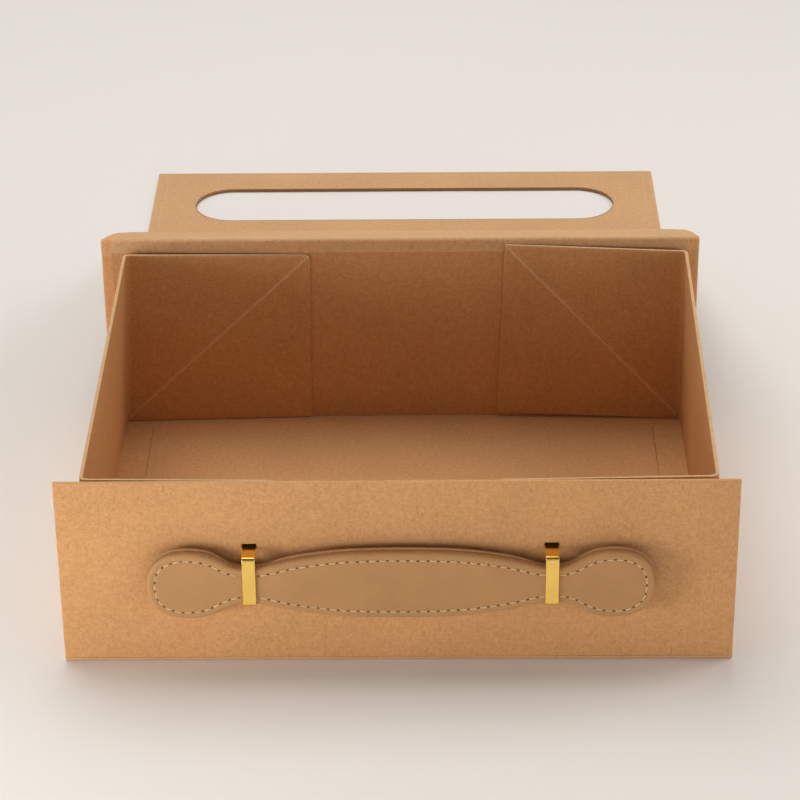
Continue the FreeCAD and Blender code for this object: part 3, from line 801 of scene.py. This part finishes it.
    # painted shadow: a dark line along the flange's free edge
    stripEdgeShade = np.zeros(flangeX.shape)
    stripEdgeShade[-1] = 0.35
    rest = np.zeros(2 * flangeX.size)
    faces = outward(shell, sheetFaces(rows, columns))
    stripFaces = outward(strip, sheetFaces(*flangeX.shape))
    faces = faces + [[i + len(shell) for i in f] for f in stripFaces]
    marks = {
        "wear": np.concatenate([rim.ravel(), rim.ravel(), rest]),
        "painted_edge_shade": np.concatenate([np.zeros(len(shell)), stripEdgeShade.ravel(), stripEdgeShade.ravel()]),
        "crease": np.concatenate([crease.ravel(), crease.ravel(), rest + 50]),
        "square": np.concatenate([onSquare.ravel(), onSquare.ravel(), rest]),
    }
    return makePiece(name, np.concatenate([shell, strip]), faces, cardKraft, marks)


for side, shape in sideShapes.items():
    dress(foldedSide(side + "_folded_card", shape), "tray", "kraft_card", side + "_side")

print("handle")

handleShape = {
    "x": 1.6, "z": 49.6, "halfLength": 122.9, "strapThick": 4.2, "liningThick": 1.4, "rim": 0.9,
    "outline": [
        (0.0, 18.3), (15.0, 18.1), (30.0, 17.3), (44.0, 15.5), (57.0, 12.9), (67.0, 10.4), (74.5, 9.6),
        (82.0, 11.0), (91.0, 15.8), (101.5, 18.3), (112.0, 17.0), (118.9, 12.5), (122.1, 6.4),
    ],
    "ear": 105.0, "clipSpacing": 146.6, "clipWidth": 6.5, "neckEase": 12.0,
    "round": 1.7, "roundDeep": 1.5, "groove": 0.32, "stitchInset": 3.8, "stitchPitch": 4.87,
}


def ringSpline(knots, count):
    # a closed cubic spline through the knots, its parameter the length of the chords
    chord = np.linalg.norm(np.roll(knots, -1, axis=0) - knots, axis=1)
    total = chord.sum()
    size = len(knots)
    matrix = np.zeros((size, size))
    i = np.arange(size)
    before, after = np.roll(chord, 1), chord
    matrix[i, (i - 1) % size] = before
    matrix[i, i] = 2 * (before + after)
    matrix[i, (i + 1) % size] = after
    right = 6 * ((np.roll(knots, -1, axis=0) - knots) / after[:, None]
                 - (knots - np.roll(knots, 1, axis=0)) / before[:, None])
    second = np.linalg.solve(matrix, right)
    t = np.linspace(0, total, count, endpoint=False)
    starts = np.concatenate([[0], np.cumsum(chord)])[:-1]
    k = np.searchsorted(starts, t, side="right") - 1
    h = chord[k][:, None]
    a = (starts[k] + chord[k] - t)[:, None]
    b = (t - starts[k])[:, None]
    nextK = (k + 1) % size
    return (
        second[k] * a ** 3 / (6 * h) + second[nextK] * b ** 3 / (6 * h)
        + (knots[k] / h - second[k] * h / 6) * a + (knots[nextK] / h - second[nextK] * h / 6) * b
    )


def strapOutline(rim, count=480):
    # starts at the right tip and goes round upward; rows k and count - k mirror each other
    h = handleShape
    quarter = np.array(h["outline"][1:])
    tip = np.array([[h["halfLength"], 0.0]])
    upperRight = quarter[::-1]
    top = np.array([h["outline"][0]])
    knots = np.vstack([
        tip, upperRight, top, upperRight[::-1] * [-1, 1], tip * [-1, 1], upperRight * [-1, -1], top * [1, -1],
        upperRight[::-1] * [1, -1],
    ])
    middle = np.clip(knots[:, 0], -h["ear"], h["ear"])
    reach = knots - np.stack([middle, 0 * middle], -1)
    fromClip = np.abs(np.abs(knots[:, 0]) - h["clipSpacing"] / 2) - h["clipWidth"]
    growth = rim * np.clip(fromClip / h["neckEase"], 0, 1)
    knots = knots + reach / np.linalg.norm(reach, axis=1)[:, None] * growth[:, None]
    return ringSpline(knots, count)


def inwardOf(ring):
    way = np.roll(ring, -1, axis=0) - np.roll(ring, 1, axis=0)
    way /= np.linalg.norm(way, axis=1)[:, None]
    return np.stack([-way[:, 1], way[:, 0]], -1)


def padded(name, ring, profile, material, edgeShade):
    # Rings of the outline moved inward by d at depth y, from the front's middle over the edge to the back's
    # middle; the middle of each side is filled with lines from the upper to the lower half of the last ring.
    inward = inwardOf(ring)
    count = len(ring)
    d, y = profile[:, 0], profile[:, 1]
    flat = ring[None] + inward[None] * d[:, None, None]
    rings = np.stack([flat[..., 0], np.broadcast_to(y[:, None], flat.shape[:2]), flat[..., 1]], -1)
    points = [rings.reshape(-1, 3)]
    # the painted shade on the edges, one value per ring
    marks = [np.repeat(edgeShade, count)]
    faces = gridFaces(len(d), count, closedColumns=True)
    lines = 8
    half = count // 2
    number = len(d) * count
    for ringNumber, backward in ((0, False), (len(d) - 1, True)):
        edgeRing = rings[ringNumber]
        k = np.arange(1, half)
        share = np.arange(1, lines)[None] / lines
        upper, lower = edgeRing[k][:, None], edgeRing[count - k][:, None]
        inside = upper * (1 - share[..., None]) + lower * share[..., None]
        points.append(inside.reshape(-1, 3))
        marks.append(np.full((half - 1) * (lines - 1), edgeShade[ringNumber]))
        table = np.zeros((half - 1, lines + 1), int)
        table[:, 0] = ringNumber * count + k
        table[:, -1] = ringNumber * count + count - k
        table[:, 1:-1] = number + np.arange((half - 1) * (lines - 1)).reshape(half - 1, lines - 1)
        number += (half - 1) * (lines - 1)
        fill = np.stack([table[:-1, :-1], table[1:, :-1], table[1:, 1:], table[:-1, 1:]], -1)
        fill = fill.reshape(-1, 4).tolist()
        first, last = ringNumber * count, ringNumber * count + half
        fill += [[first, table[0, j], table[0, j + 1]] for j in range(lines)]
        fill += [[last, table[-1, j + 1], table[-1, j]] for j in range(lines)]
        faces += [f[::-1] for f in fill] if backward else fill
    allPoints = np.concatenate(points) * mm
    allPoints[:, 0] += handleShape["x"] * mm
    allPoints[:, 2] += handleShape["z"] * mm
    return makePiece(name, allPoints, faces, material, {"edge": np.concatenate(marks)}, sharpAngle=0)


strapFront = boxOf("handle_strap")[0][1] / mm


def strapPiece():
    h = handleShape
    turn = np.radians(np.linspace(90, 0, 9))
    roundY = strapFront + h["roundDeep"] * (1 - np.sin(turn))
    rounding = np.stack([h["round"] * (1 - np.cos(turn)), roundY], -1)
    face = np.array([7.0, 5.8, 5.1, 4.6, 4.2, 4.0, 3.8, 3.6, 3.2, 2.7, 2.3])
    dip = h["groove"] * np.exp(-((face - h["stitchInset"]) / 0.6) ** 2)
    front = np.stack([face, strapFront + dip], -1)
    back = strapFront + h["strapThick"]
    side = np.array([[0, back - 0.4], [0.25, back - 0.08], [0.6, back], [5.0, back]])
    profile = np.vstack([front, rounding, side])
    # painted shade: none on the front, growing over the rounding, full on the sides and back
    mark = np.concatenate([np.zeros(len(front)), np.linspace(0, 1, len(rounding)) ** 2, np.ones(len(side))])
    return padded("strap_body", strapOutline(0), profile, strapSkin, mark)


def liningPiece():
    h = handleShape
    start = strapFront + h["strapThick"]
    stop = start + h["liningThick"]
    profile = np.array([[5.0, start], [0.5, start], [0.12, start + 0.12], [0, start + 0.45], [0, stop - 0.4],
                        [0.15, stop - 0.1], [0.5, stop], [5.0, stop]])
    # the lining is painted darker all over with the same shade
    return padded("strap_lining", strapOutline(h["rim"]), profile, strapSkin, np.full(len(profile), 0.85))


dress(strapPiece(), "tray", "strap_leather", "handle_strap")
dress(liningPiece(), "tray", "strap_leather", "handle_lining")


def stitches():
    # Each stitch is a bent capsule: it lies in the groove and dips into the strap at both ends. Beside each
    # end is a needle hole, a flat dimple painted dark as the hole's shade.
    h = handleShape
    ring = strapOutline(0, 2400)
    seam = ring + inwardOf(ring) * h["stitchInset"]
    step = np.linalg.norm(np.roll(seam, -1, axis=0) - seam, axis=1)
    run = np.concatenate([[0], np.cumsum(step)])
    closed = np.vstack([seam, seam[:1]])
    count = int(round(run[-1] / h["stitchPitch"]))
    places = (np.arange(count) + 0.5) * run[-1] / count
    spot = np.stack([np.interp(places, run, closed[:, i]) for i in (0, 1)], -1)
    ahead = np.stack([np.interp((places + 0.6) % run[-1], run, closed[:, i]) for i in (0, 1)], -1)
    way = ahead - spot
    way /= np.linalg.norm(way, axis=1)[:, None]
    clear = np.abs(np.abs(spot[:, 0]) - h["clipSpacing"] / 2) > h["clipWidth"] / 2
    spot, way = spot[clear], way[clear]
    seed = np.random.default_rng(7)
    lean = seed.normal(0, 0.05, len(spot))
    way = np.stack([way[:, 0] * np.cos(lean) - way[:, 1] * np.sin(lean),
                    way[:, 0] * np.sin(lean) + way[:, 1] * np.cos(lean)], -1)
    cross = np.stack([-way[:, 1], way[:, 0]], -1)
    floor = strapFront + h["groove"]

    def pods(halfLong, radius, lift, drop):
        v = np.linspace(-1, 1, 9)
        u = np.radians(np.arange(0, 360, 45))
        wide = radius * np.sqrt(np.clip(1 - np.abs(v) ** 5, 0.02, None))
        along = (halfLong * v)[None, :, None] + 0 * u[None, None]
        side = wide[None, :, None] * np.cos(u)[None, None]
        out = wide[None, :, None] * np.sin(u)[None, None] * lift + drop * v[None, :, None] ** 4
        x = spot[:, 0, None, None] + way[:, 0, None, None] * along + cross[:, 0, None, None] * side
        z = spot[:, 1, None, None] + way[:, 1, None, None] * along + cross[:, 1, None, None] * side
        return np.stack([x + h["x"], floor - 0.12 + out + 0 * x, z + h["z"]], -1) * mm

    def tubes(name, stack, material, capped):
        # stack: tube, row, column, place. Each tube is closed round its columns, and capped at both end rows.
        number, rows, columns = stack.shape[:3]
        starts = np.arange(number) * rows * columns
        one = np.array(gridFaces(rows, columns, closedColumns=True))
        faces = (one[None] + starts[:, None, None]).reshape(-1, 4).tolist()
        caps = []
        if capped:
            caps += (starts[:, None] + np.arange(columns)[None, ::-1]).tolist()
            caps += (starts[:, None] + (rows - 1) * columns + np.arange(columns)[None]).tolist()
        return makePiece(name, stack.reshape(-1, 3), faces, material, {}, ends=caps)

    threads = tubes("stitch_threads", pods(1.75, 0.4, 1.0, 0.3), stitchThread, True)
    dress(threads, "tray", "thread", "handle_stitching")
    holeSpot = spot + way * h["stitchPitch"] / 2
    spin = np.radians(np.arange(0, 360, 30))
    r = np.array([0.0, 0.35, 0.58])[:, None]
    deep = np.array([-0.30, -0.2, -0.02])[:, None]
    hx = holeSpot[:, 0, None, None] + h["x"] + r[None] * np.cos(spin) * 1.15
    hz = holeSpot[:, 1, None, None] + h["z"] + r[None] * np.sin(spin)
    front = np.stack([hx, floor + deep[None] * 0.5 - 0.06 + 0 * hx, hz], -1)
    back = front + [0, 0.25, 0]
    discs = np.concatenate([front, back[:, ::-1]], axis=1) * mm
    dress(tubes("hole_shades", discs, holeShade, False), "tray", "thread")


stitches()

print("clips")

clipShape = {"width": 6.5, "metal": 1.0, "bend": 1.7, "rootWidth": 7.1, "prong": 7.0, "prongThick": 0.7}


def clipBand(name, node):
    # The band's middle line: down the prong behind the panel, through the upper slit, over the strap, back
    # through the lower slit and down. Corners are arcs; the band widens a little at the upper slit.
    low, high = boxOf(node)
    c = {key: value * mm for key, value in clipShape.items()}
    half = c["metal"] / 2
    yFace, yRoot = low[1] + half, frontHigh[1] - c["prongThick"] / 2
    armTop, armLow = high[2] - c["prong"], low[2] + c["prong"] - half
    corners = np.array([(yRoot, high[2]), (yRoot, armTop), (yFace, armTop), (yFace, armLow), (yRoot, armLow),
                        (yRoot, low[2])])
    radii = [0, 0.4 * mm, c["bend"] - half, c["bend"] - half, 0.4 * mm, 0]
    path = [corners[0]]
    for i in range(1, len(corners) - 1):
        before, here, after = corners[i - 1], corners[i], corners[i + 1]
        inWay = (here - before) / np.linalg.norm(here - before)
        outWay = (after - here) / np.linalg.norm(after - here)
        t = np.linspace(0, math.pi / 2, 9)[:, None]
        centre = here - inWay * radii[i] + outWay * radii[i]
        path += list(centre + inWay * radii[i] * np.sin(t) - outWay * radii[i] * np.cos(t))
    path.append(corners[-1])
    path = np.array(path)

    def halfAt(share):
        root = np.exp(-((share - 0.22) / 0.05) ** 2)
        return (c["width"] + (c["rootWidth"] - c["width"]) * root) / 2

    middle = float(low[0] + high[0]) / 2
    piece = board(name, path, c["metal"], c["width"] / 2, clipBrass, 0.28 * mm, middle, 0.8 * mm, 2 * mm,
                  halfAt=halfAt)
    # painted shade: what lies inside the slit is darkened
    addMark(piece.data, "slit_shade", placesOf(piece.data)[:, 1] > frontLow[1] + 0.4 * mm)
    dress(piece, "tray", "clip_brass", node)


for side in ("left", "right"):
    clipBand(side + "_band", side + "_clip")

print("carried-over nodes")
for nodeName, material in (
    # the tray liner takes the liner paper's painted-shade copy
    ("tray_liner", shadedLinerKraft),
    ("front_magnets", magnetSteel),
    ("flap_magnets", magnetSteel),
):
    nodes[nodeName].data.materials.clear()
    nodes[nodeName].data.materials.append(material)

print("room and light")


def roomMaterial():
    # near-white table; the camera and glossy rays see it a little brighter than it lights the object
    n = Nodes("table_white")
    n.shader.inputs["Base Color"].default_value = (0.85, 0.82, 0.785, 1)
    n.shader.inputs["Roughness"].default_value = 0.9
    n.shader.inputs["Specular IOR Level"].default_value = 0.1
    lightPath = n.add("ShaderNodeLightPath")
    seen = n.sums("MAXIMUM", lightPath.outputs["Is Camera Ray"], lightPath.outputs["Is Glossy Ray"])
    seen = n.sums("MAXIMUM", seen, lightPath.outputs["Is Transmission Ray"])
    n.shader.inputs["Emission Color"].default_value = (1.0, 0.985, 0.965, 1)
    n.join(n.sums("MULTIPLY", seen, 0.04), n.shader.inputs["Emission Strength"])
    return n.material


def makeRoom():
    # a table that curves up into a backdrop far behind: z = 0 to y = 2.2, then a quarter circle of radius 1.5
    turn = np.linspace(0, math.pi / 2, 16)
    y = np.concatenate([[-3.0, 2.2], 2.2 + 1.5 * np.sin(turn[1:]), [3.7]])
    z = np.concatenate([[0, 0], 1.5 - 1.5 * np.cos(turn[1:]), [4.0]])
    x = np.array([-4.0, 4.0])
    points = np.stack([x[None] + 0 * y[:, None], y[:, None] + 0 * x[None], z[:, None] + 0 * x[None]], -1)
    faces = [f[::-1] for f in gridFaces(len(y), 2)]
    placed("table", smoothMesh("table", points.reshape(-1, 3), faces, roomMaterial()))


makeRoom()

lampShapes = {
    "key": {"at": (-0.35, 0.6, 1.7), "aim": (0, 0.05, 0.05), "size": 1.5, "power": 16},
    "side": {"at": (1.1, 0.25, 1.0), "aim": (0, 0.1, 0.05), "size": 0.9, "power": 4.6},
    "low": {"at": (-0.52, -0.44, 0.08), "aim": (-0.06, -0.12, 0.05), "size": 0.26, "power": 1.75},
    "low_right": {"at": (0.95, -0.8, 0.12), "aim": (0.1, -0.12, 0.05), "size": 0.4, "power": 1.7},
}


def makeLamp(name, look):
    data = bpy.data.lights.new(name, "AREA")
    data.shape = "DISK"
    data.size = look["size"]
    data.energy = look["power"]
    data.color = (1, 0.985, 0.96)
    lamp = placed(name, data)
    at, aim = np.array(look["at"]), np.array(look["aim"])
    lamp.location = at
    lamp.rotation_euler = Vector(aim - at).to_track_quat("-Z", "Y").to_euler()


for lampName, lampLook in lampShapes.items():
    makeLamp(lampName, lampLook)


def roomLight():
    # bright round the horizon; above it, dim in front and bright behind
    world = bpy.data.worlds.new("room_light")
    bpy.context.scene.world = world
    world.use_nodes = True
    tree = world.node_tree
    toward = tree.nodes.new("ShaderNodeTexCoord")
    split = tree.nodes.new("ShaderNodeSeparateXYZ")
    tree.links.new(toward.outputs["Generated"], split.inputs["Vector"])

    def ramp(axis, low, high, first, last):
        node = tree.nodes.new("ShaderNodeMapRange")
        for key, value in zip(("From Min", "From Max", "To Min", "To Max"), (low, high, first, last)):
            node.inputs[key].default_value = value
        tree.links.new(split.outputs[axis], node.inputs["Value"])
        return node.outputs["Result"]

    mix = tree.nodes.new("ShaderNodeMix")
    tree.links.new(ramp("Z", 0.1, 0.45, 0.0, 1.0), mix.inputs[0])
    mix.inputs[2].default_value = 0.68
    tree.links.new(ramp("Y", -0.4, 0.5, 0.13, 0.6), mix.inputs[3])
    background = tree.nodes["Background"]
    background.inputs["Color"].default_value = (1.0, 0.965, 0.925, 1)
    tree.links.new(mix.outputs[0], background.inputs["Strength"])


roomLight()

cameraShape = {
    "place": (16.70, -1315.83, 801.35), "pitch": 28.761, "yaw": -0.6985, "roll": -0.6176, "focal": 2889.51,
}


def makeCamera():
    c = cameraShape
    data = bpy.data.cameras.new("camera")
    data.sensor_width = 36
    data.lens = 36 * c["focal"] / 800
    data.clip_end = 20
    camera = placed("camera", data)
    camera.location = [value * mm for value in c["place"]]
    facing = Euler((math.radians(90 - c["pitch"]), 0, math.radians(-c["yaw"]))).to_matrix()
    camera.rotation_euler = (facing @ Matrix.Rotation(math.radians(c["roll"]), 3, "Z")).to_euler()
    bpy.context.scene.camera = camera


makeCamera()
bpy.context.scene.view_settings.view_transform = "Standard"

print("done")
